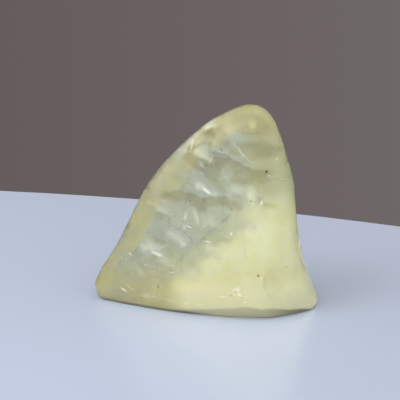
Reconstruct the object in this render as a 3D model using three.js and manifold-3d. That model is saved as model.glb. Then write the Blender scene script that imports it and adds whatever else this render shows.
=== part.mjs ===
// A hand-sized lump of Libyan desert glass, a natural silica glass, standing on its worn foot.
//
// It is one solid. Two broad wind-polished faces meet in a soft ridge at the front, a bevel runs
// down the left edge, and the back keeps the shallow conchoidal scars of old flakes.
// Units are millimetres. +X is right, -Y is the front and +Z is up. The origin is on the table,
// under the middle of the stone. The sizes below are from a point near there, before that move.

import * as THREE from "three";
import { mergeVertices } from "three/addons/utils/BufferGeometryUtils.js";
import Module from "manifold-3d";

// ---------------------------------------------------------------- driving dimensions

// The silhouette from the front, as [x, z]. Its foot runs below the table and is cut off there.
const OUTLINE = [
  [-21.3, 2.7], [-20.5, 0.3], [-18.4, -2.2], [-14.0, -3.4], [0.0, -4.0],
  [17.0, -3.0], [20.3, 0.4], [19.2, 3.8], [17.7, 7.9], [16.5, 13.9], [15.9, 19.0],
  [15.5, 22.8], [14.4, 26.8], [12.8, 31.9], [11.4, 34.6], [9.4, 36.1],
  [7.0, 36.3], [4.5, 35.5], [0.0, 33.1], [-5.0, 28.8], [-9.5, 24.0],
  [-12.3, 19.7], [-15.8, 12.6], [-19.4, 6.3],
];
const OUTLINE_STEPS = 160;

// The broad faces. Each is the cap of a large ball through a point, facing outwards.
const FACES = {
  frontLeft: { through: [-1.0, -6.5, 15.0], facing: [-0.36, -0.909, 0.211], radius: 160 },
  frontRight: { through: [13.0, -8.1, 15.0], facing: [0.52, -0.835, 0.18], radius: 80 },
  back: { through: [1.0, 6.4, 12.0], facing: [0.02, 0.98, -0.14], radius: 130 },
};
const FRONT_RIDGE_SOFTNESS = 1.2;
const EDGE_SOFTNESS = 0.7;
const EDGE_CROWN = 0.03; // the edge draws in by this much times the square of y
const FOOT_DEPTH = -2.5; // the stone is worn flat at z = 0, well above this

// The bevel between the left edge and the front face fades out past the tip.
const BEVEL_INSET = 2.0;
const BEVEL_FADE = { from: 4, to: 12 };

// Conchoidal scars. Each is a ball's bite at [x, z] on the front or the back, this deep.
const FLAKES = [
  { side: "front", at: [-0.6, 30.5], radius: 6, depth: 0.6 },
  { side: "front", at: [12.6, 4.4], radius: 9, depth: 0.2 },
  // Wide scars, worn smooth.
  { side: "back", at: [14.0, 8.5], radius: 30, depth: 0.8 },
  { side: "back", at: [12.5, 21.0], radius: 26, depth: 0.7 },
  { side: "back", at: [-13.2, 6.6], radius: 12, depth: 0.8 },
  { side: "back", at: [-5.2, 4.6], radius: 13, depth: 0.8 },
  { side: "back", at: [4.2, 6.0], radius: 14, depth: 1.0 },
  { side: "back", at: [-9.4, 13.6], radius: 11, depth: 1.0 },
  { side: "back", at: [-0.4, 13.4], radius: 13, depth: 1.2 },
  { side: "back", at: [7.0, 14.4], radius: 11, depth: 0.9 },
  { side: "back", at: [-6.2, 21.4], radius: 11, depth: 1.0 },
  { side: "back", at: [2.4, 21.4], radius: 12, depth: 1.1 },
  { side: "back", at: [-0.6, 28.0], radius: 10, depth: 0.9 },
  { side: "back", at: [7.2, 28.6], radius: 12, depth: 0.9 },
  { side: "back", at: [7.4, 34.2], radius: 9, depth: 0.5 },
  // Small fresh ones over them.
  { side: "back", at: [-15.4, 10.8], radius: 5, depth: 0.6 },
  { side: "back", at: [-9.0, 8.4], radius: 5, depth: 0.9 },
  { side: "back", at: [-0.8, 8.2], radius: 6, depth: 1.0 },
  { side: "back", at: [-5.0, 16.6], radius: 5, depth: 1.1 },
  { side: "back", at: [3.4, 15.8], radius: 5, depth: 1.2 },
  { side: "back", at: [-11.0, 18.4], radius: 5, depth: 0.7 },
  { side: "back", at: [-2.0, 22.8], radius: 5, depth: 1.0 },
  { side: "back", at: [6.6, 20.2], radius: 6, depth: 1.1 },
  { side: "back", at: [3.4, 27.6], radius: 5, depth: 1.0 },
  { side: "back", at: [-4.4, 26.4], radius: 4, depth: 0.6 },
  { side: "back", at: [10.0, 24.8], radius: 5, depth: 0.8 },
];

// The worn facets that turn under around the foot. They meet the faces in a crisp edge.
const FOOT_FACETS = {
  left: { through: [-11.9, -3.8, 1.1], facing: [-0.445, -0.88, -0.167], radius: 160 },
  middle: { through: [1.1, -8.72, 0.66], facing: [-0.167, -0.767, -0.62], radius: 80 },
  right: { through: [17.4, -6.6, 0.7], facing: [0.5, -0.75, -0.42], radius: 35 },
  back: { through: [2.0, 5.9, 0.7], facing: [0.0, 0.93, -0.37], radius: 160 },
};

// How far a curved face may rise above its facets, and the longest and shortest facet edges.
const FACET_BULGE = 0.03;
const FACET = { longest: 2.6, shortest: 0.6 };

// Every ray that shapes the stone starts here.
const HEART = new THREE.Vector3(3.0, 0.5, 13.0);
const RAY_DETAIL = 5;
const RAY_REACH = 60;
const HALVINGS = 30;

// ---------------------------------------------------------------- the shape as a distance

const outline = new THREE.SplineCurve([...OUTLINE, OUTLINE[0]].map(([x, z]) => new THREE.Vector2(x, z)))
  .getSpacedPoints(OUTLINE_STEPS);

// How far (x, z) is outside the silhouette, negative inside.
function outsideOutline(x, z) {
  let nearest = Infinity;
  let inside = false;
  for (let i = 1; i < outline.length; i++) {
    const a = outline[i - 1];
    const b = outline[i];
    const dx = b.x - a.x;
    const dz = b.y - a.y;
    const along = ((x - a.x) * dx + (z - a.y) * dz) / (dx * dx + dz * dz);
    const t = Math.min(Math.max(along, 0), 1);
    nearest = Math.min(nearest, Math.hypot(a.x + t * dx - x, a.y + t * dz - z));
    if (a.y > z !== b.y > z && x < a.x + ((z - a.y) / dz) * dx) inside = !inside;
  }
  return inside ? -nearest : nearest;
}

const ballOf = ({ through, facing, radius }) => {
  const outward = new THREE.Vector3(...facing).normalize();
  return { centre: new THREE.Vector3(...through).addScaledVector(outward, -radius), radius };
};
const balls = Object.fromEntries(Object.entries(FACES).map(([name, face]) => [name, ballOf(face)]));
const outsideBall = (point, { centre, radius }) => point.distanceTo(centre) - radius;

// The largest of several distances, rounded where they are alike.
function softMax(values, softness) {
  const top = Math.max(...values);
  return top + softness * Math.log(values.reduce((sum, v) => sum + Math.exp((v - top) / softness), 0));
}

// How far a point is outside the stone, negative inside.
function outsideStone(point) {
  const edge = outsideOutline(point.x, point.z) + EDGE_CROWN * point.y ** 2;
  const front = softMax(
    [outsideBall(point, balls.frontLeft), outsideBall(point, balls.frontRight)],
    FRONT_RIDGE_SOFTNESS,
  );
  const fade = THREE.MathUtils.smoothstep(point.x, BEVEL_FADE.from, BEVEL_FADE.to);
  const bevel = (edge + front + BEVEL_INSET * (1 - 2 * fade)) * Math.SQRT1_2;
  return softMax(
    [edge, front, bevel, outsideBall(point, balls.back), FOOT_DEPTH - point.z],
    EDGE_SOFTNESS,
  );
}

// The point where a ray from inside the stone leaves it.
function surfaceAlong(from, direction) {
  let inside = 0;
  let outside = RAY_REACH;
  for (let i = 0; i < HALVINGS; i++) {
    const middle = (inside + outside) / 2;
    if (outsideStone(from.clone().addScaledVector(direction, middle)) > 0) outside = middle;
    else inside = middle;
  }
  return from.clone().addScaledVector(direction, inside);
}

// The way out of the stone at a point of its surface.
function outwardAt(point) {
  const step = 0.05;
  const slope = ["x", "y", "z"].map((axis) => {
    const further = point.clone();
    further[axis] += step;
    return outsideStone(further) - outsideStone(point);
  });
  return new THREE.Vector3(...slope).normalize();
}

// ---------------------------------------------------------------- solids

const wasm = await Module();
wasm.setup();

function solidOf(geometry) {
  const bare = geometry.clone();
  bare.deleteAttribute("normal");
  bare.deleteAttribute("uv");
  const merged = mergeVertices(bare, 1e-4);
  return new wasm.Manifold(
    new wasm.Mesh({
      numProp: 3,
      vertProperties: new Float32Array(merged.attributes.position.array),
      triVerts: new Uint32Array(merged.index.array),
    }),
  );
}

function geometryOf(solid) {
  const { vertProperties, triVerts } = solid.getMesh();
  const geometry = new THREE.BufferGeometry();
  geometry.setAttribute("position", new THREE.BufferAttribute(new Float32Array(vertProperties), 3));
  geometry.setIndex(new THREE.BufferAttribute(new Uint32Array(triVerts), 1));
  geometry.computeVertexNormals();
  return geometry;
}

// The stone before it is flaked: a ball of rays, with its coarse edges split until none is left.
function roughStone() {
  const ball = new THREE.IcosahedronGeometry(1, RAY_DETAIL);
  ball.deleteAttribute("normal");
  ball.deleteAttribute("uv");
  const pattern = mergeVertices(ball, 1e-4);
  const position = pattern.getAttribute("position");
  const corners = [];
  for (let i = 0; i < position.count; i++) {
    corners.push(surfaceAlong(HEART, new THREE.Vector3().fromBufferAttribute(position, i)));
  }
  let triangles = [];
  for (let i = 0; i < pattern.index.count; i += 3) triangles.push([...pattern.index.array.slice(i, i + 3)]);

  for (let before = 0; before < triangles.length; ) {
    before = triangles.length;
    const middles = new Map();
    // The corner to split an edge at, or null if the edge is fine enough.
    const middleOf = (a, b) => {
      const key = a < b ? `${a} ${b}` : `${b} ${a}`;
      if (!middles.has(key)) {
        const length = corners[a].distanceTo(corners[b]);
        const chord = corners[a].clone().lerp(corners[b], 0.5);
        const middle = surfaceAlong(HEART, chord.clone().sub(HEART).normalize());
        const bulges = chord.distanceTo(middle) > FACET_BULGE && length > FACET.shortest;
        middles.set(key, bulges || length > FACET.longest ? corners.push(middle) - 1 : null);
      }
      return middles.get(key);
    };
    triangles = triangles.flatMap((triangle) => split(triangle, middleOf, corners));
  }
  return solidOf(meshOf(corners, triangles));
}

// One triangle as the triangles that it is split into at the middles of its coarse edges.
function split(triangle, middleOf, corners) {
  const middles = triangle.map((corner, i) => middleOf(corner, triangle[(i + 1) % 3]));
  const coarse = middles.filter((middle) => middle !== null).length;
  if (coarse === 0) return [triangle];
  // Turned so that the first edge is split, and the second as well if two are.
  const turn = [0, 1, 2].find((i) => middles[i] !== null && (coarse !== 2 || middles[(i + 1) % 3] !== null));
  const [a, b, c] = [0, 1, 2].map((i) => triangle[(i + turn) % 3]);
  const [ab, bc, ca] = [0, 1, 2].map((i) => middles[(i + turn) % 3]);
  if (coarse === 1) return [[a, ab, c], [ab, b, c]];
  if (coarse === 3) return [[a, ab, ca], [ab, b, bc], [bc, c, ca], [ab, bc, ca]];
  const acrossFromA = corners[a].distanceTo(corners[bc]) < corners[ab].distanceTo(corners[c]);
  return acrossFromA ? [[ab, b, bc], [a, ab, bc], [a, bc, c]] : [[ab, b, bc], [a, ab, c], [ab, bc, c]];
}

function meshOf(corners, triangles) {
  const geometry = new THREE.BufferGeometry();
  const flat = new Float32Array(corners.flatMap((corner) => [...corner]));
  geometry.setAttribute("position", new THREE.BufferAttribute(flat, 3));
  geometry.setIndex(triangles.flat());
  return geometry;
}

function ballSolid({ centre, radius }) {
  const detail = Math.ceil(radius / Math.sqrt(8 * radius * FACET_BULGE));
  return solidOf(new THREE.IcosahedronGeometry(radius, detail).translate(...centre));
}

// The ball whose bite leaves one flake scar.
function flakeBall({ side, at: [x, z], radius, depth }) {
  const across = new THREE.Vector3(0, side === "back" ? 1 : -1, 0);
  const surface = surfaceAlong(new THREE.Vector3(x, HEART.y, z), across);
  return ballSolid({ centre: surface.addScaledVector(outwardAt(surface), radius - depth), radius });
}

const BELOW_TABLE = new THREE.BoxGeometry(100, 100, 100).translate(0, 0, -50);

let stone = roughStone().subtract(solidOf(BELOW_TABLE));
for (const facet of Object.values(FOOT_FACETS)) stone = stone.intersect(ballSolid(ballOf(facet)));
for (const flake of FLAKES) stone = stone.subtract(flakeBall(flake));

// The origin goes under the middle of the finished stone.
const geometry = geometryOf(stone);
geometry.computeBoundingBox();
const middle = geometry.boundingBox.getCenter(new THREE.Vector3());
geometry.translate(-middle.x, -middle.y, 0);

const glass = new THREE.Mesh(
  geometry,
  new THREE.MeshStandardMaterial({ color: 0xd6d6a6, roughness: 0.25, metalness: 0 }),
);
glass.name = "desert_glass";

const specimen = new THREE.Group();
specimen.add(glass);
export default specimen;
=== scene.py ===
"""Libyan desert glass: the fine wind-polished surface, the glass itself, and the studio around it."""

import math
import random
from collections import namedtuple

import bmesh
import bpy
import numpy as np
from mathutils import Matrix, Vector, kdtree, noise


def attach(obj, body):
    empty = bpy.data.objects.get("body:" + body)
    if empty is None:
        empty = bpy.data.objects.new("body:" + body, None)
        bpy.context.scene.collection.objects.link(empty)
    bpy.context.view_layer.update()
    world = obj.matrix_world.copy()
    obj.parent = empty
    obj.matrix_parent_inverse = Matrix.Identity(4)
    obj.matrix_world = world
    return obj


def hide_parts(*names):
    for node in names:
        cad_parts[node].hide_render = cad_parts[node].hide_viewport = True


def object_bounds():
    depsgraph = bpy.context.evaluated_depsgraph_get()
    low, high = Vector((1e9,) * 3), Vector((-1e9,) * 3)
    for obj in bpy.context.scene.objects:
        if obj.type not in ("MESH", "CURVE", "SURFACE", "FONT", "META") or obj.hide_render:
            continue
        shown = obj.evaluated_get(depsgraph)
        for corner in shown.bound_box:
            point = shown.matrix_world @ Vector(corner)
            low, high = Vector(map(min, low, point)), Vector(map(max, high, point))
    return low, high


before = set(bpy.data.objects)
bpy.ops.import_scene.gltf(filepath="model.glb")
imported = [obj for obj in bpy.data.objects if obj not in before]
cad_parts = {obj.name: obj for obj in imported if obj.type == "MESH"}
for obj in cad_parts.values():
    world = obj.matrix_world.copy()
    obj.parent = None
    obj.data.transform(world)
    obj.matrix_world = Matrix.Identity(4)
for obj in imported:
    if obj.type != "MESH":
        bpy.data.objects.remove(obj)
cad_box = [list(corner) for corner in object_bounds()]

MM = 0.001
LOW, HIGH = (Vector(corner) for corner in cad_box)
MIDDLE = (LOW + HIGH) / 2

# ------------------------------------------------------------------ camera

VIEW_ELEVATION = math.radians(15)
VIEW_DISTANCE = 240 * MM
VIEW_TARGET = MIDDLE + Vector((-1.37, 1.83, 1.0)) * MM
VIEW_WIDTH = 72.1 * MM  # what the picture spans at the target
SENSOR_WIDTH = 36.0
NEAREST_SEEN = 1 * MM


def add_camera():
    """Looks at the front of the stone from a little above."""
    camera = bpy.data.objects.new("camera", bpy.data.cameras.new("camera"))
    bpy.context.scene.collection.objects.link(camera)
    away = Vector((0, -math.cos(VIEW_ELEVATION), math.sin(VIEW_ELEVATION)))
    camera.location = VIEW_TARGET + away * VIEW_DISTANCE
    camera.rotation_euler = away.to_track_quat("Z", "Y").to_euler()
    camera.data.sensor_width = SENSOR_WIDTH
    camera.data.lens = SENSOR_WIDTH * VIEW_DISTANCE / VIEW_WIDTH
    camera.data.clip_start = NEAREST_SEEN
    bpy.context.scene.camera = camera


# ------------------------------------------------------------------ mesh helpers
# Lengths on the stone are millimetres. x runs to the right, y to the back and z up, from under
# the middle of the stone.

RIM_NOISE, LINE_NOISE, FACET_NOISE = 20, 30, 50  # shifts, so that each reads another part of the noise
SAME_PLACE = 0.001  # points nearer than this are one


def points_of(mesh):
    """The place of each point, in millimetres."""
    points = np.zeros(len(mesh.vertices) * 3)
    mesh.vertices.foreach_get("co", points)
    return points.reshape(-1, 3) / MM


def set_points(mesh, points):
    mesh.vertices.foreach_set("co", (points * MM).ravel())
    mesh.update()


def normals_of(mesh):
    normals = np.zeros(len(mesh.vertices) * 3)
    mesh.vertices.foreach_get("normal", normals)
    return normals.reshape(-1, 3)


def add_attribute(mesh, name, values):
    """Keeps one number per point for the glass to read."""
    mesh.attributes.new(name, "FLOAT", "POINT").data.foreach_set("value", values)


def smoothstep(start, end, values):
    """Rises smoothly from 0 at the start value to 1 at the end value, which may be the smaller."""
    share = np.clip((values - start) / (end - start), 0, 1)
    return share * share * (3 - 2 * share)


def within(rise, fall, values):
    """Rises from 0 to 1 over one range of values and falls back to 0 over another."""
    return smoothstep(*rise, values) * (1 - smoothstep(*fall, values))


def ripple(points, wavelength, shift=0):
    """Smooth noise from -1 to 1 at each point, with bumps about a wavelength apart."""
    return np.array([noise.noise(Vector(point) / wavelength) for point in points + shift])


def ripples(points, waves):
    """The sum of some ripples, each given as its wavelength and its height."""
    return sum(height * ripple(points, wavelength) for wavelength, height in waves)


def tree_of(spots):
    """Finds the nearest of some places."""
    tree = kdtree.KDTree(len(spots))
    for number, spot in enumerate(spots):
        tree.insert(spot, number)
    tree.balance()
    return tree


SMOOTHING_STEPS = (0.55, -0.50)  # the step back keeps thin tips from shrinking


def smooth(mesh, rounds, share):
    """Moves each point towards the mean of its neighbours and partly back, times its own share."""
    edges = np.zeros(len(mesh.edges) * 2, int)
    mesh.edges.foreach_get("vertices", edges)
    a, b = edges.reshape(-1, 2).T
    size = len(mesh.vertices)
    count = np.bincount(a, minlength=size) + np.bincount(b, minlength=size)
    points = points_of(mesh)
    for step in rounds * SMOOTHING_STEPS:
        total = np.stack(
            [
                np.bincount(a, points[b, axis], size) + np.bincount(b, points[a, axis], size)
                for axis in range(3)
            ],
            axis=1,
        )
        points += step * share[:, None] * (total / count[:, None] - points)
    set_points(mesh, points)


# ------------------------------------------------------------------ the fine surface

VOXEL = 0.24
SMOOTHING_ROUNDS = 24
LAST_ROUNDS = 5  # after the flake scars are cut
LEAST_SOFT = 0.08  # how much the crisp edges are smoothed too
LEAST_SOFT_LAST = 0.1

CRISP_ANGLE = math.radians(28)
CRISP_REACH = (0.1, 1.2)
SOFT_ABOVE, SOFT_BEHIND = (3, 5), (-2, 0)  # the edges on the back above the foot are smoothed as well

ROUND_TIP = (-18.5, -15.0)  # the left tip is worn round
TIP_START = -17.0
TIP_REACH = 0.7  # how far out it bulges
TIP_ROUNDS = 60  # how many more times it is smoothed
TIP_ROUNDED = (-19.5, -17.0)

RIPPLES = ((5.0, 0.05), (1.6, 0.012))  # wavelength and height
RIPPLES_ABOVE = (0.2, 2.0)  # the underside stays flat


def remeshed(node, name):
    """A copy of a CAD node with small even faces."""
    piece = node.copy()
    piece.data = node.data.copy()
    piece.parent = None
    piece.hide_render = piece.hide_viewport = False
    for key in list(piece.keys()):
        del piece[key]
    bpy.context.scene.collection.objects.link(piece)
    modifier = piece.modifiers.new("voxels", "REMESH")
    modifier.mode = "VOXEL"
    modifier.voxel_size = VOXEL * MM
    graph = bpy.context.evaluated_depsgraph_get()
    mesh = bpy.data.meshes.new_from_object(piece.evaluated_get(graph))
    piece.modifiers.clear()
    piece.data = mesh
    piece.name = mesh.name = name
    mesh.materials.clear()
    return piece


def distance_to_crisp_edges(node, points):
    """How far each point is from the sharp edges of a CAD node."""
    shape = bmesh.new()
    shape.from_mesh(node.data)
    bmesh.ops.remove_doubles(shape, verts=shape.verts, dist=SAME_PLACE * MM)
    spots = []
    for edge in shape.edges:
        if len(edge.link_faces) == 2 and edge.calc_face_angle() > CRISP_ANGLE:
            start, end = (corner.co / MM for corner in edge.verts)
            steps = math.ceil((end - start).length / VOXEL)
            spots += [start.lerp(end, (i + 0.5) / steps) for i in range(steps)]
    shape.free()
    tree = tree_of(spots)
    return np.array([tree.find(point)[2] for point in points])


def softness_of(node, points):
    """How freely each point is smoothed: hardly at all near the crisp edges of the foot."""
    x, y, z = points.T
    softness = smoothstep(*CRISP_REACH, distance_to_crisp_edges(node, points))
    softness = np.maximum(softness, 1 - smoothstep(*ROUND_TIP, x))
    return np.maximum(softness, smoothstep(*SOFT_ABOVE, z) * smoothstep(*SOFT_BEHIND, y))


def fill_tip(mesh):
    """Bulges the left tip, which the smoothing draws in, out to a little past the CAD's, and rounds it."""
    points = points_of(mesh)
    points[:, 0] -= TIP_REACH * smoothstep(TIP_START, LOW.x / MM, points[:, 0])
    set_points(mesh, points)
    smooth(mesh, TIP_ROUNDS, 1 - smoothstep(*TIP_ROUNDED, points[:, 0]))


def ripple_surface(mesh):
    """The faint waves of a wind-polished face."""
    points, normals = points_of(mesh), normals_of(mesh)
    lifted = smoothstep(*RIPPLES_ABOVE, points[:, 2])
    set_points(mesh, points + normals * (ripples(points, RIPPLES) * lifted)[:, None])


# ------------------------------------------------------------------ the yellow and olive edge, and a painted highlight on the upper left edge

RIM_CENTRE = (3.0, 13.0)  # angles are degrees round this place: 0 to the right, 90 up, 180 to the left
OUTLINE_STEP = 3  # degrees between two measures of the outline
RIM_FROM, RIM_TO = (45, 70), (208, 222)
RIM_OUTER, RIM_INNER = (-0.3, 0.9), (2.5, 5.0)  # how far in from the outline it begins and ends
RIM_WANDER = ((3.5, 1.2), (1.3, 0.6))  # wavelength and how far in or out
RIM_TOP = 1.5  # how much further out it reaches at the top
RIM_TOP_TO = (92, 102)  # the angles where that ends
RIM_LOW = 0.7  # how yellow the lower left is
RIM_LOW_BELOW, RIM_LOW_LEFT = (4, 9), (3, 8)
RIM_EVEN, RIM_UNEVEN = 0.8, 0.35  # how strong it is, and how much that varies
RIM_PATCH = 2.6
OLIVE_RIGHT, OLIVE_ABOVE = (5.5, 10.0), (14, 25)
EDGE_HIGHLIGHT = 0.55  # how white the painted highlight along the upper left edge is
EDGE_HIGHLIGHT_FROM, EDGE_HIGHLIGHT_TO = (90, 100), (108, 125)
EDGE_HIGHLIGHT_INWARDS = (0.2, 1.1)  # how far in it reaches


def inwards_of(points):
    """How far each point is from the outline seen from the front, and its direction in degrees."""
    x, z = points[:, 0] - RIM_CENTRE[0], points[:, 2] - RIM_CENTRE[1]
    angle, radius = np.degrees(np.arctan2(z, x)), np.hypot(x, z)
    bins = np.arange(-180, 181, OUTLINE_STEP)
    number = ((angle + 180) / OUTLINE_STEP).round().astype(int)
    widest = np.zeros(len(bins))
    np.maximum.at(widest, np.clip(number, 0, len(bins) - 1), radius)
    return np.interp(angle, bins, widest) - radius, angle


def mark_rim(mesh):
    """Marks the edge that is deep yellow in uneven patches, the olive upper right and a painted highlight
    along the upper left edge.
    """
    points = points_of(mesh)
    x, _, z = points.T
    inwards, angle = inwards_of(points)
    turned = np.where(angle < -90, angle + 360, angle)
    inwards += ripples(points, RIM_WANDER)
    top = RIM_TOP * (1 - smoothstep(*RIM_TOP_TO, turned))
    band = smoothstep(*RIM_OUTER, inwards + top) * (1 - smoothstep(*RIM_INNER, inwards))
    low = RIM_LOW * (1 - smoothstep(*RIM_LOW_BELOW, z)) * smoothstep(*RIM_LOW_LEFT, -x)
    yellow = np.maximum(within(RIM_FROM, RIM_TO, turned) * band, low)
    olive = smoothstep(*OLIVE_RIGHT, x) * smoothstep(*OLIVE_ABOVE, z)
    patchy = RIM_EVEN + RIM_UNEVEN * ripple(points, RIM_PATCH, RIM_NOISE)
    # a painted highlight along the upper left edge
    worn = within(EDGE_HIGHLIGHT_FROM, EDGE_HIGHLIGHT_TO, turned) * (1 - smoothstep(*EDGE_HIGHLIGHT_INWARDS, inwards))
    add_attribute(mesh, "rim", np.clip(yellow * patchy, 0, 1))
    add_attribute(mesh, "olive", np.clip(olive * patchy * (1 - yellow), 0, 1))
    add_attribute(mesh, "worn", EDGE_HIGHLIGHT * worn)


# ------------------------------------------------------------------ the foot

HEEL_BELOW = (3.0, 4.0)
HEEL_FACING = (0.15, 0.33)  # how far down a face of the foot looks where it gets painted shade
HEEL_END = (6.0, 17.0)  # where the painted shade of the foot darkens towards the right, as a painted contact shadow
CONTACT_BELOW = (1.1, 0.3)  # a painted contact shadow, a dark line along the table on the left
CONTACT_LEFT = (2, -4)
CONTACT_FACING = (0, -0.3)  # only on faces that look to the front


def paint_foot_shade(mesh):
    """Paints shade on the facets of the foot that look down, and a darker painted contact shadow towards
    their right end and along the lowest edge on the left.
    """
    points, normals = points_of(mesh), normals_of(mesh)
    x, _, z = points.T
    heel_shade = (1 - smoothstep(*HEEL_BELOW, z)) * smoothstep(*HEEL_FACING, -normals[:, 2])
    end = heel_shade * smoothstep(*HEEL_END, x)
    contact = smoothstep(*CONTACT_BELOW, z) * smoothstep(*CONTACT_LEFT, x)
    contact *= smoothstep(*CONTACT_FACING, normals[:, 1])
    add_attribute(mesh, "heel_shade", heel_shade)
    add_attribute(mesh, "contact_shadow", np.maximum(end, contact))


# ------------------------------------------------------------------ the flaked back
# Small flake scars on the back: flat facets with random tilts, dull to a random degree.

BACK_FACING = (0.3, 0.7)
BACK_SLOPE, BACK_HEIGHT = 0.85, 9.15  # the line above which the back is flaked
BACK_STEEPNESS = 1.3  # a height above that line over the distance from it
BACK_EDGE = (-0.8, 1.6)

FACET_SPREAD = ((-24, 20), (-2, 38))  # over what x and what z
FACET_SEED = 11
# How many facets, the steepest slope, the largest step, and the weight of how dull they are.
FACET_SETS = ((170, 0.14, 0.06, 0.7), (700, 0.10, 0.02, 0.3))
FACET_TURN = math.radians(-32)  # the way that they run
FACET_STRETCH = 1.2
FACET_WOBBLE = 0.2  # how uneven their borders are
FACET_BLEND = 0.16  # how softly one meets the next
FACETS_MET = 3  # how many can meet in one place
FACET_DULL = (0.9, -0.6)  # each is dull on one side and fades towards the other
FACET_DEPTH = 0.25  # how deep they lie on the whole

FLAKED_LEFT_OF, FLAKED_BELOW = (8.0, 10.5), (29, 33)  # where they die out to the right and the top
FLAKED_INWARDS = (0.5, 4.0)  # and towards the outline
FROST_RANGE = (0.4, 1.0)
FROST_TOP = 0.65  # how dull the top is at least
FROST_TOP_ABOVE, FROST_TOP_INWARDS = (23, 31), (2.0, 6.0)
FROST_RIGHT = 0.1  # and the right
FROST_RIGHT_OF = (5, 8.5)


def upper_back(points, normals):
    """1 on the back above a line that rises to the right, where it is dull, and 0 elsewhere."""
    x, _, z = points.T
    above = (z - BACK_SLOPE * x - BACK_HEIGHT) / BACK_STEEPNESS
    return smoothstep(*BACK_FACING, normals[:, 1]) * smoothstep(*BACK_EDGE, above)


def facet_axes():
    """The two directions along the facets and across them, as columns, with the stretch in them."""
    along = np.array([math.cos(FACET_TURN), math.sin(FACET_TURN)])
    across = [-along[1], along[0]]
    return np.stack([along, across], axis=1) * [1 / math.sqrt(FACET_STRETCH), math.sqrt(FACET_STRETCH)]


def random_facets(dice, axes, count, slope, step):
    """A row for each facet: its centre along and across, its two slopes, its height, its dullness."""
    rows = []
    for _ in range(count):
        centre = np.array([dice.uniform(*spread) for spread in FACET_SPREAD]) @ axes
        slopes = [dice.uniform(-slope, slope) for _ in range(2)]
        rows.append([*centre, *slopes, dice.uniform(-step, step), dice.random()])
    return np.array(rows)


def facets(points, dice, count, slope, step):
    """The height of a field of random flat facets at each point, and how dull each place is."""
    axes = facet_axes()
    size = math.sqrt(math.prod(high - low for low, high in FACET_SPREAD) / count)
    wobble = np.stack([ripple(points, size), ripple(points, size, FACET_NOISE)], axis=1)
    spots = (points[:, [0, 2]] + wobble * FACET_WOBBLE * size) @ axes
    shapes = random_facets(dice, axes, count, slope, step)
    tree = tree_of([(*centre, 0) for centre in shapes[:, :2]])
    found = [tree.find_n((*spot, 0), FACETS_MET) for spot in spots]
    which = np.array([[number for _, number, _ in row] for row in found])
    away = np.array([[distance for _, _, distance in row] for row in found])
    share = np.exp((away[:, :1] - away) / (FACET_BLEND * size))
    share /= share.sum(axis=1, keepdims=True)
    shapes = shapes[which]
    offset = spots[:, None, :] - shapes[:, :, :2]
    height = (offset * shapes[:, :, 2:4]).sum(axis=2) + shapes[:, :, 4]
    dull = shapes[:, :, 5] * smoothstep(*FACET_DULL, offset[:, :, 1] / size)
    return (height * share).sum(axis=1), (dull * share).sum(axis=1)


def flake_back(mesh):
    """Cuts the facets into the upper back, and marks how dull each place on it is."""
    dice = random.Random(FACET_SEED)
    points, normals = points_of(mesh), normals_of(mesh)
    x, _, z = points.T
    upper = upper_back(points, normals)
    inwards, _ = inwards_of(points)
    flaked = upper * (1 - smoothstep(*FLAKED_LEFT_OF, x)) * smoothstep(*FLAKED_INWARDS, inwards)
    flaked *= 1 - smoothstep(*FLAKED_BELOW, z)
    height, frost = np.zeros(len(points)), np.zeros(len(points))
    for count, slope, step, weight in FACET_SETS:
        rise, dull = facets(points, dice, count, slope, step)
        height += rise
        frost += weight * dull
    top = FROST_TOP * smoothstep(*FROST_TOP_ABOVE, z) * smoothstep(*FROST_TOP_INWARDS, inwards)
    frost = np.maximum(frost, top)
    frost = np.maximum(frost, FROST_RIGHT * smoothstep(*FROST_RIGHT_OF, x))
    frost = FROST_RANGE[0] + (FROST_RANGE[1] - FROST_RANGE[0]) * frost
    depth = (FACET_DEPTH - height) * flaked
    set_points(mesh, points - normals * np.maximum(depth, 0)[:, None])
    add_attribute(mesh, "frost", upper * frost)


# ------------------------------------------------------------------ the marks on the front

FRONT_FACING = -0.1  # the front is where a face looks at least this far towards -y
Mark = namedtuple("Mark", "x z half_width half_height turn strength")  # the turn is in degrees


def marks(*rows):
    return [Mark(*row) for row in rows]


# Whitish patches, hardly sunk, that are painted highlights.
HIGHLIGHT_PATCHES = marks(
    (-1.2, 23.0, 1.6, 1.1, -20, 0.45), (-0.2, 22.2, 1.5, 0.55, -35, 1.0), (1.0, 21.9, 1.2, 1.0, 0, 0.25),
    (-9.8, 11.6, 2.4, 2.0, -15, 0.4), (-9.3, 10.4, 1.7, 0.6, -10, 1.0), (-5.4, 13.8, 2.6, 1.4, -30, 0.3),
    (-4.8, 13.1, 1.9, 0.4, -30, 0.5), (6.2, 28.8, 2.6, 0.3, -45, 0.3), (7.9, 34.0, 1.0, 1.5, 10, 0.25),
    (7.5, 22.6, 1.3, 2.2, 0, 0.4), (-3.9, 17.6, 0.5, 1.7, -12, 0.4), (-2.2, 18.2, 0.5, 1.9, 15, 0.3),
    (-8.6, 18.4, 2.8, 1.0, -20, 0.25), (-0.8, 28.3, 2.2, 1.7, -8, 0.5), (3.6, 26.0, 1.8, 2.5, -20, 0.2),
    (7.6, 16.2, 2.5, 2.6, 0, 0.2), (1.0, 17.0, 2.6, 1.4, -30, 0.2), (4.9, 23.0, 2.1, 1.7, 0, 0.25),
    (-7.0, 9.0, 2.8, 1.3, -20, 0.2), (1.2, 12.6, 2.4, 1.0, -10, 0.2), (-12.2, 7.0, 2.4, 1.0, -35, 0.15),
)
HIGHLIGHT_PATCH_DEPTH = 0.015
HIGHLIGHT_PATCH_EDGE = (0, 0.75)
HIGHLIGHT_PATCH_FADE = (1.0, -0.5)  # each is whole at its lower end and fades upwards

# Small nicks, each with a painted highlight.
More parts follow.
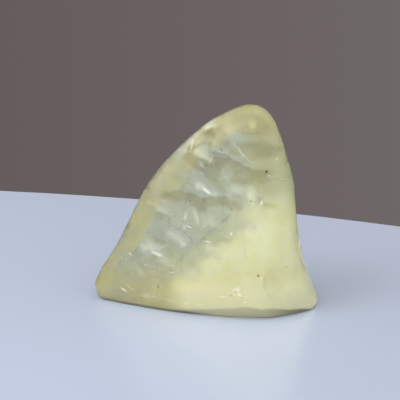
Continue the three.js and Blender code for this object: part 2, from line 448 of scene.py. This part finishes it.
GLINTS = marks(
    (4.1, 15.2, 0.3, 0.5, 20, 0.8), (-14.0, 9.5, 0.5, 0.25, -30, 0.7), (-15.3, 2.9, 0.8, 0.22, -30, 0.8),
    (9.4, 20.8, 0.25, 0.35, 0, 0.7), (12.1, 27.9, 0.2, 0.25, 0, 0.6), (-6.4, 7.3, 0.8, 0.2, -5, 0.6),
    (4.9, 5.5, 1.0, 0.5, 25, 0.6), (3.9, 6.3, 0.35, 0.25, 0, 0.5), (5.6, 4.8, 0.5, 0.3, -20, 0.5),
    (0.0, 13.5, 0.7, 0.17, -10, 0.6), (-3.4, 15.7, 0.8, 0.18, -15, 0.6), (0.2, 10.0, 0.6, 0.2, 20, 0.5),
    (7.8, 20.7, 0.35, 0.2, 0, 0.6), (-11.2, 8.0, 0.6, 0.15, -10, 0.5), (2.0, 29.0, 0.16, 0.35, 10, 0.5),
    (-11.0, 2.2, 1.2, 0.18, -8, 0.4), (6.6, 3.6, 0.5, 0.18, 10, 0.4), (-12.4, 21.0, 0.4, 0.2, 40, 0.4),
    (10.7, 25.2, 0.35, 0.16, -20, 0.5), (9.4, 7.8, 0.3, 0.14, 20, 0.4), (-3.0, 12.0, 0.5, 0.15, 10, 0.4),
    (12.6, 10.8, 0.3, 0.15, 0, 0.4), (2.6, 4.2, 0.6, 0.16, 5, 0.4),
)
GLINT_DEPTH = 0.08
GLINT_EDGE = (0, 0.8)

STAINS = marks(
    (1.6, 4.2, 5.0, 2.4, 5, 0.8), (3.6, 5.0, 2.0, 1.2, -10, 1.0), (-6.0, 25.2, 1.6, 1.0, 40, 0.5),
)
STAIN_EDGE = (0, 0.7)

DIMPLES = marks((11.5, 6.6, 1.9, 2.8, 15, 0.5), (-4.6, 6.0, 5.0, 1.8, -4, 0.2))  # strength is depth
DIMPLE_SHADE = 0.25
DIMPLE_EDGE = (0, 0.3)

# Faint lines, as points (x, z), then how pale (above 0) or dark (below 0), and the half width. The pale
# ones are painted highlights, on the rim of the scar at the top and along the ridge at the lower left.
LINES = (
    (((-3.1, 28.3), (-2.6, 30.0), (-1.5, 31.5), (0.2, 33.0)), 0.75, 0.26),
    (((6.0, 14.8), (6.2, 12.8), (6.7, 10.7), (8.1, 8.4)), -0.3, 0.4),
    (((9.0, 22.4), (9.3, 19.0), (9.0, 15.0), (9.2, 12.0)), -0.18, 0.5),
    (((10.1, 8.2), (9.9, 6.2), (10.7, 4.5), (12.2, 4.2), (13.0, 5.6)), -0.45, 0.35),
    (((-15.6, 4.4), (-13.8, 3.3), (-10.5, 2.5), (-5.5, 2.1), (-1.0, 2.1)), 0.3, 0.3),
    (((-8.0, 6.0), (-4.0, 5.2), (0.5, 5.6)), -0.08, 0.4),
    (((3.0, 10.5), (3.6, 8.5), (5.6, 7.4)), -0.08, 0.35),
)
LINE_DEPTH = 0.05
LINE_RAGGED = 0.5
LINE_GAPS = (-0.6, 0.4)  # where the noise is low, a line is broken
LINE_GAP_SIZE = 1.4

# Pits, as (x, z, radius, how dark the painted shade in them is).
PITS = (
    (10.3, 25.8, 0.30, 1.0), (4.0, 19.3, 0.22, 0.6), (8.8, 8.2, 0.26, 1.0), (7.5, 21.0, 0.2, 0.9),
    (-3.3, 19.9, 0.30, 0.35), (2.3, 29.2, 0.20, 0.8), (-0.7, 13.9, 0.2, 0.8), (-6.7, 7.6, 0.26, 0.5),
    (-8.9, 4.4, 0.26, 0.7), (4.8, 5.2, 0.35, 0.25), (4.0, 4.4, 0.25, 0.4), (13.8, 9.1, 0.16, 0.5),
    (10.0, 6.6, 0.16, 0.5), (6.9, 8.7, 0.14, 0.5), (-4.2, 16.4, 0.2, 0.3), (5.7, 4.3, 0.2, 0.3),
)
PIT_DEPTH = 0.9  # of its radius
PIT_RAGGED, PIT_RAGGED_SIZE = 0.3, 0.35
PIT_SHADE = (0.35, 0.75)  # the painted shade lies in its deeper part
PIT_NEAR = 3  # how far round it to look, in radii

RAGGED_EDGES = ((1.6, 0.6), (0.6, 0.3))  # wavelength and height, but not for dimples and pits
REFINE_CUTS = 2
REFINE_PITS, REFINE_GLINTS = 2.2, 1.2  # how far round a mark the faces are split, over its size


def mark_share(points, mark, ragged=0.0):
    """How far inside a mark each point is, 1 at its middle and 0 outside it, and how far up it."""
    angle = math.radians(mark.turn)
    across, up = points[:, 0] - mark.x, points[:, 2] - mark.z
    u = (across * math.cos(angle) + up * math.sin(angle)) / mark.half_width
    v = (up * math.cos(angle) - across * math.sin(angle)) / mark.half_height
    return np.clip(1 - np.hypot(u, v) * (1 + ragged), 0, 1), v


def distance_to_line(points, line):
    """How far each point is from a line through given points, seen from the front."""
    spots = points[:, [0, 2]]
    nearest = np.full(len(points), np.inf)
    for start, end in zip(np.array(line[:-1]), np.array(line[1:])):
        along = np.clip((spots - start) @ (end - start) / ((end - start) @ (end - start)), 0, 1)
        away = np.linalg.norm(spots - start - along[:, None] * (end - start), axis=1)
        nearest = np.minimum(nearest, away)
    return nearest


def refine_near_marks(mesh):
    """Splits the faces around each small mark, so that the smallest have a clean edge too."""
    spots = [(x, z, REFINE_PITS * radius) for x, z, radius, _ in PITS]
    for mark in GLINTS:
        spots.append((mark.x, mark.z, REFINE_GLINTS * max(mark.half_width, mark.half_height)))
    shape = bmesh.new()
    shape.from_mesh(mesh)
    near = set()
    for face in shape.faces:
        if face.normal.y > FRONT_FACING:
            continue
        x, _, z = face.calc_center_median() / MM
        if any(abs(x - px) < reach + VOXEL and abs(z - pz) < reach + VOXEL for px, pz, reach in spots):
            near.update(face.edges)
    bmesh.ops.subdivide_edges(shape, edges=list(near), cuts=REFINE_CUTS, use_grid_fill=True)
    bmesh.ops.triangulate(shape, faces=shape.faces)
    shape.to_mesh(mesh)
    shape.free()


class Front:
    """The front of the stone, with what its marks add up to at each point."""

    def __init__(self, mesh):
        self.points, self.normals = points_of(mesh), normals_of(mesh)
        self.faced = self.normals[:, 1] < FRONT_FACING
        self.ragged = ripples(self.points, RAGGED_EDGES)
        self.depth, self.white, self.painted_shade_and_dark_lines, self.stain = (np.zeros(len(self.points)) for _ in range(4))

    def add_highlight_patches(self):
        """Painted highlights: whitish, hardly sunk patches that fade upwards."""
        for mark in HIGHLIGHT_PATCHES:
            share, up = mark_share(self.points, mark, self.ragged)
            inside = smoothstep(*HIGHLIGHT_PATCH_EDGE, share) * smoothstep(*HIGHLIGHT_PATCH_FADE, up) * self.faced
            self.depth += HIGHLIGHT_PATCH_DEPTH * inside
            self.white = np.maximum(self.white, inside * mark.strength)

    def add_glints(self):
        """Small nicks with painted highlights on them."""
        for mark in GLINTS:
            share, _ = mark_share(self.points, mark, self.ragged)
            inside = smoothstep(*GLINT_EDGE, share) * self.faced
            self.depth += GLINT_DEPTH * inside
            self.white = np.maximum(self.white, inside * mark.strength)

    def add_lines(self):
        """Faint lines with gaps: the pale ones are painted highlights and the dark ones darken the glass.
        """
        whole = smoothstep(*LINE_GAPS, ripple(self.points, LINE_GAP_SIZE, LINE_NOISE))
        for line, strength, width in LINES:
            away = distance_to_line(self.points, line) / width * (1 + LINE_RAGGED * self.ragged)
            inside = np.clip(1 - away, 0, 1) * self.faced * whole
            self.depth += LINE_DEPTH * inside
            self.white = np.maximum(self.white, max(strength, 0) * inside)
            self.painted_shade_and_dark_lines = np.maximum(self.painted_shade_and_dark_lines, max(-strength, 0) * inside)

    def add_stains(self):
        """Ochre stains, which leave the shape as it is."""
        for mark in STAINS:
            share, _ = mark_share(self.points, mark, self.ragged)
            inside = mark.strength * smoothstep(*STAIN_EDGE, share) * self.faced
            self.stain = np.maximum(self.stain, inside)

    def add_dimples(self):
        """Shallow smooth hollows, with painted shade that makes them a little darker than the glass around
        them.
        """
        for mark in DIMPLES:
            share, _ = mark_share(self.points, mark)
            self.depth += mark.strength * smoothstep(0, 1, share) * self.faced
            shade = DIMPLE_SHADE * mark.strength * smoothstep(*DIMPLE_EDGE, share) * self.faced
            self.painted_shade_and_dark_lines = np.maximum(self.painted_shade_and_dark_lines, shade)

    def add_pits(self):
        """Small deep pits, with painted shade in their deeper part."""
        for number, (x, z, radius, dark) in enumerate(PITS):
            away = np.hypot(self.points[:, 0] - x, self.points[:, 2] - z)
            close = np.where(self.faced & (away < PIT_NEAR * radius))[0]
            ragged = 1 + PIT_RAGGED * ripple(self.points[close], PIT_RAGGED_SIZE, shift=number)
            share = np.clip(1 - (away[close] / radius * ragged) ** 2, 0, 1)
            self.depth[close] = np.maximum(self.depth[close], PIT_DEPTH * radius * share)
            self.painted_shade_and_dark_lines[close] = np.maximum(self.painted_shade_and_dark_lines[close], dark * smoothstep(*PIT_SHADE, share))


def mark_front(mesh):
    """Sinks the marks into the front, and keeps what they look like for the glass."""
    refine_near_marks(mesh)
    front = Front(mesh)
    front.add_highlight_patches()
    front.add_glints()
    front.add_lines()
    front.add_stains()
    front.add_dimples()
    front.add_pits()
    set_points(mesh, front.points - front.normals * front.depth[:, None])
    # the painted highlights, then the painted shade with some dark lines
    add_attribute(mesh, "painted_highlight", front.white)
    add_attribute(mesh, "painted_shade_and_dark_lines", front.painted_shade_and_dark_lines)
    add_attribute(mesh, "stain", front.stain)


def make_stone():
    """The stone's fine surface, which stands for the CAD solid."""
    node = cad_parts["desert_glass"]
    stone = remeshed(node, "desert_glass_fine")
    mesh = stone.data
    softness = softness_of(node, points_of(mesh))
    smooth(mesh, SMOOTHING_ROUNDS, LEAST_SOFT + (1 - LEAST_SOFT) * softness)
    fill_tip(mesh)
    ripple_surface(mesh)
    flake_back(mesh)
    smooth(mesh, LAST_ROUNDS, LEAST_SOFT_LAST + (1 - LEAST_SOFT_LAST) * softness)
    paint_foot_shade(mesh)
    mark_rim(mesh)
    mark_front(mesh)
    for face in mesh.polygons:
        face.use_smooth = True
    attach(stone, "root")
    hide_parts("desert_glass")
    return stone


# ------------------------------------------------------------------ shader helpers

class Nodes:
    """Short ways to add nodes to one shader and join them up."""

    def __init__(self, tree):
        self.new, self.link = tree.nodes.new, tree.links.new

    def feed(self, value, socket):
        """Joins another node's output to a socket, or sets the socket to a plain value."""
        if isinstance(value, bpy.types.NodeSocket):
            self.link(value, socket)
        else:
            socket.default_value = value

    def maths(self, operation, a, b):
        made = self.new("ShaderNodeMath")
        made.operation = operation
        self.feed(a, made.inputs[0])
        self.feed(b, made.inputs[1])
        return made.outputs["Value"]

    def ramp(self, source, start, end, curve="SMOOTHSTEP"):
        """Rises from 0 where the source is at start to 1 where it is at end."""
        made = self.new("ShaderNodeMapRange")
        made.interpolation_type = curve
        self.feed(source, made.inputs["Value"])
        self.feed(start, made.inputs["From Min"])
        self.feed(end, made.inputs["From Max"])
        return made.outputs["Result"]

    def mix(self, share, a, b, kind="RGBA"):
        made = self.new("ShaderNodeMix")
        made.data_type = kind
        sockets = [socket for socket in made.inputs if socket.enabled]
        for value, socket in zip((share, a, b), sockets):
            self.feed(value, socket)
        return next(socket for socket in made.outputs if socket.enabled)

    def split(self, place):
        """The x, y and z of a place."""
        made = self.new("ShaderNodeSeparateXYZ")
        self.feed(place, made.inputs["Vector"])
        return made.outputs

    def attribute(self, name):
        """What add_attribute kept under a name."""
        made = self.new("ShaderNodeAttribute")
        made.attribute_name = name
        return made.outputs["Fac"]

    def noise(self, place, size, detail, roughness=0.5):
        made = self.new("ShaderNodeTexNoise")
        self.feed(place, made.inputs["Vector"])
        self.feed(1 / size, made.inputs["Scale"])
        self.feed(detail, made.inputs["Detail"])
        self.feed(roughness, made.inputs["Roughness"])
        return made.outputs["Fac"]


# ------------------------------------------------------------------ glass

# The whitish tint is for painted highlights, the two foot tints are painted shade and a painted contact
# shadow, and the darkest tint is painted shade in pits and hollows, with some dark lines.
TINTS = {
    "clear": (0.77, 0.80, 0.68, 1),
    "milky": (0.86, 0.84, 0.51, 1),
    "pale_milky": (0.90, 0.91, 0.63, 1),
    "dark_scar": (0.62, 0.66, 0.58, 1),
    "pale_scar": (0.89, 0.93, 0.84, 1),
    "ochre": (1.0, 0.96, 0.64, 1),
    "stain": (1.0, 0.89, 0.62, 1),
    "olive": (0.74, 0.735, 0.42, 1),
    "rim": (0.85, 0.78, 0.38, 1),
    "heel_shade": (0.74, 0.73, 0.56, 1),
    "contact_shadow": (0.20, 0.20, 0.12, 1),
    "painted_highlight": (0.93, 0.98, 0.90, 1),
    "painted_shade_and_dark_lines": (0.05, 0.04, 0.02, 1),
}
# The painted highlights, the painted contact shadow and the painted shade in pits and hollows also let
# less light through.
TRANSMISSION = {
    "clear": 0.9, "milky": 0.65, "foot": 0.55, "rim": 0.84,
    "frost": 0.4, "contact_shadow": 0.2, "painted_highlight": 0.3, "painted_shade_and_dark_lines": 0.1,
}
ROUGHNESS = {"plain": 0.09, "rim": 0.16, "frost": 0.45}

MILK_RIGHT_OF = 6.3 * MM
MILK_SIDE_SLOPE = 0.9
MILK_SLOPE, MILK_BELOW = 0.85, 11.1 * MM  # the line under which the glass is milky
MILK_WANDER = 11 * MM
MILK_PATCH, MILK_DETAIL, MILK_GRAIN = 6 * MM, 5, 0.6
MILK_RAMP = (2.4 * MM, 8.5 * MM)
MILK_TOP = (26 * MM, 17 * MM)  # where it dies out towards the top
FOOT = (9 * MM, 4 * MM)
CLOUD_PATCH, CLOUD_DETAIL = 3.5 * MM, 2
CLOUD_RANGE = (0.35, 0.65)  # the milky glass is pale under this noise and yellow above it
OCHRE_RANGE = (0.25, 0.60)
SCARRED_FROM = 0.1

GLASS_IOR = 1.46
SCATTER_RADIUS, SCATTER_SCALE = (1.0, 1.0, 0.6), 3 * MM
ABSORBED_COLOUR, ABSORBED_DENSITY = (0.83, 0.80, 0.0, 1), 16  # the density is per metre


def milkiness(nodes, place):
    """1 in the milky glass along the right side and the foot, and 0 in the clear glass above it."""
    x, _, z = nodes.split(place)
    patches = nodes.noise(place, MILK_PATCH, MILK_DETAIL, MILK_GRAIN)
    side = nodes.maths("MULTIPLY", nodes.maths("SUBTRACT", x, MILK_RIGHT_OF), MILK_SIDE_SLOPE)
    low = nodes.maths("SUBTRACT", nodes.maths("MULTIPLY", x, MILK_SLOPE), z)
    low = nodes.maths("ADD", low, MILK_BELOW)
    wander = nodes.maths("MULTIPLY", patches, MILK_WANDER)
    reach = nodes.maths("ADD", nodes.maths("MAXIMUM", side, low), wander)
    return nodes.maths("MULTIPLY", nodes.ramp(reach, *MILK_RAMP), nodes.ramp(z, *MILK_TOP))


def glass_places(nodes, place, clouds):
    """How much of each kind of glass or mark there is at a place, by name."""
    kept = ("rim", "olive", "worn", "heel_shade", "contact_shadow", "frost", "painted_highlight", "painted_shade_and_dark_lines", "stain")
    there = {name: nodes.attribute(name) for name in kept}
    # the painted highlights of the marks and of the upper left edge
    there["painted_highlight"] = nodes.maths("MAXIMUM", there["painted_highlight"], there["worn"])
    there["milky"] = milkiness(nodes, place)
    foot = nodes.ramp(nodes.split(place)["Z"], *FOOT)
    there["foot"] = nodes.maths("MULTIPLY", foot, there["milky"])
    there["ochre"] = nodes.maths("MULTIPLY", nodes.ramp(clouds, *OCHRE_RANGE), there["foot"])
    return there


def glass_tint(nodes, there, clouds):
    milky = nodes.mix(nodes.ramp(clouds, *CLOUD_RANGE), TINTS["pale_milky"], TINTS["milky"])
    scar = nodes.mix(nodes.ramp(there["frost"], *FROST_RANGE), TINTS["dark_scar"], TINTS["pale_scar"])
    scarred = nodes.ramp(there["frost"], SCARRED_FROM, FROST_RANGE[0])
    tint = nodes.mix(there["milky"], TINTS["clear"], milky)
    tint = nodes.mix(scarred, tint, scar)
    # the marks mixed in last include painted highlights, painted shade on the foot, a painted contact
    # shadow and painted shade in pits and hollows
    for name in ("ochre", "stain", "olive", "rim", "heel_shade", "contact_shadow", "painted_highlight", "painted_shade_and_dark_lines"):
        tint = nodes.mix(there[name], tint, TINTS[name])
    return tint


def glass_transmission(nodes, there):
    clear = TRANSMISSION["clear"]
    for name in ("milky", "foot", "rim", "frost", "contact_shadow", "painted_highlight", "painted_shade_and_dark_lines"):
        clear = nodes.mix(there[name], clear, TRANSMISSION[name], "FLOAT")
    return clear


def glass_roughness(nodes, there):
    edge = nodes.maths("MAXIMUM", there["rim"], there["olive"])
    rough = nodes.mix(edge, ROUGHNESS["plain"], ROUGHNESS["rim"], "FLOAT")
    return nodes.mix(there["frost"], rough, ROUGHNESS["frost"], "FLOAT")


def make_glass():
    """Clear to milky yellow glass, which scatters light under its surface and absorbs blue inside."""
    material = bpy.data.materials.new("desert_glass")
    material.use_nodes = True
    nodes = Nodes(material.node_tree)
    shader, output = (material.node_tree.nodes[name] for name in ("Principled BSDF", "Material Output"))
    place = nodes.new("ShaderNodeTexCoord").outputs["Object"]
    clouds = nodes.noise(place, CLOUD_PATCH, CLOUD_DETAIL)
    there = glass_places(nodes, place, clouds)
    nodes.feed(glass_tint(nodes, there, clouds), shader.inputs["Base Color"])
    nodes.feed(glass_transmission(nodes, there), shader.inputs["Transmission Weight"])
    nodes.feed(glass_roughness(nodes, there), shader.inputs["Roughness"])
    shader.inputs["IOR"].default_value = GLASS_IOR
    shader.inputs["Subsurface Weight"].default_value = 1.0
    shader.inputs["Subsurface Radius"].default_value = SCATTER_RADIUS
    shader.inputs["Subsurface Scale"].default_value = SCATTER_SCALE
    absorption = nodes.new("ShaderNodeVolumeAbsorption")
    absorption.inputs["Color"].default_value = ABSORBED_COLOUR
    absorption.inputs["Density"].default_value = ABSORBED_DENSITY
    nodes.feed(absorption.outputs["Volume"], output.inputs["Volume"])
    return material


# ------------------------------------------------------------------ studio

TABLE_RADIUS = 330 * MM
TABLE_CENTRE = Vector((-108, -243, 0)) * MM
TABLE_UNDER = 0.02 * MM  # how far it lies under the stone
TABLE_SEGMENTS = 180
TABLE_COLOUR = (0.45, 0.51, 0.65, 1)
SATIN_ROUGHNESS, SATIN_SPECULAR = 0.25, 0.9

WALL_LEFT = (0.128, 0.105, 0.105, 1)
WALL_RIGHT = (0.162, 0.140, 0.140, 1)
WALL_REACH = (-0.18, 0.18)  # over what part of the view it changes
WINDOW = (1.71, 1.71, 1.67, 1)
WINDOW_TOWARDS = Vector((0.35, -0.75, 0.56)).normalized()
WINDOW_REACH = (-0.15, 0.95)  # the cosines between which the wall's light turns into the window's


def satin(name, colour):
    material = bpy.data.materials.new(name)
    material.use_nodes = True
    shader = material.node_tree.nodes["Principled BSDF"]
    shader.inputs["Base Color"].default_value = colour
    shader.inputs["Roughness"].default_value = SATIN_ROUGHNESS
    shader.inputs["Specular IOR Level"].default_value = SATIN_SPECULAR
    return material


def add_table():
    """A large round pale table. Its far edge is the horizon."""
    mesh = bpy.data.meshes.new("table")
    shape = bmesh.new()
    bmesh.ops.create_circle(shape, cap_ends=True, segments=TABLE_SEGMENTS, radius=TABLE_RADIUS)
    shape.to_mesh(mesh)
    shape.free()
    table = bpy.data.objects.new("table", mesh)
    table.location = TABLE_CENTRE + Vector((0, 0, LOW.z - TABLE_UNDER))
    mesh.materials.append(satin("table", TABLE_COLOUR))
    bpy.context.scene.collection.objects.link(table)


def add_light(name, place, size, power, colour, mirrored=True):
    """A round soft light that shines at the middle of the stone, mirrored in glossy surfaces or not."""
    light = bpy.data.lights.new(name, "AREA")
    light.shape = "DISK"
    light.size = size * MM
    light.energy = power
    light.color = colour
    lamp = bpy.data.objects.new(name, light)
    lamp.location = MIDDLE + Vector(place) * MM
    lamp.rotation_euler = Vector(place).to_track_quat("Z", "Y").to_euler()
    lamp.visible_glossy = mirrored
    bpy.context.scene.collection.objects.link(lamp)


def add_world():
    """A dim room, a little brighter on the right, with a large soft window high at the front right."""
    world = bpy.data.worlds.new("studio")
    bpy.context.scene.world = world
    world.use_nodes = True
    nodes = Nodes(world.node_tree)
    place = nodes.new("ShaderNodeTexCoord").outputs["Generated"]
    towards = nodes.new("ShaderNodeVectorMath")
    towards.operation = "DOT_PRODUCT"
    nodes.feed(place, towards.inputs[0])
    nodes.feed(WINDOW_TOWARDS, towards.inputs[1])
    window = nodes.ramp(towards.outputs["Value"], *WINDOW_REACH)
    right = nodes.ramp(nodes.split(place)["X"], *WALL_REACH, curve="LINEAR")
    wall = nodes.mix(right, WALL_LEFT, WALL_RIGHT)
    nodes.feed(nodes.mix(window, wall, WINDOW), world.node_tree.nodes["Background"].inputs["Color"])


add_camera()
stone = make_stone()
stone.data.materials.append(make_glass())
add_table()
add_world()
add_light("key", (-230, -120, 260), size=240, power=0.66, colour=(1.0, 0.98, 0.95), mirrored=False)
add_light("rim", (-280, 80, 240), size=320, power=0.22, colour=(1.0, 1.0, 1.0))
bpy.context.scene.view_settings.view_transform = "Standard"
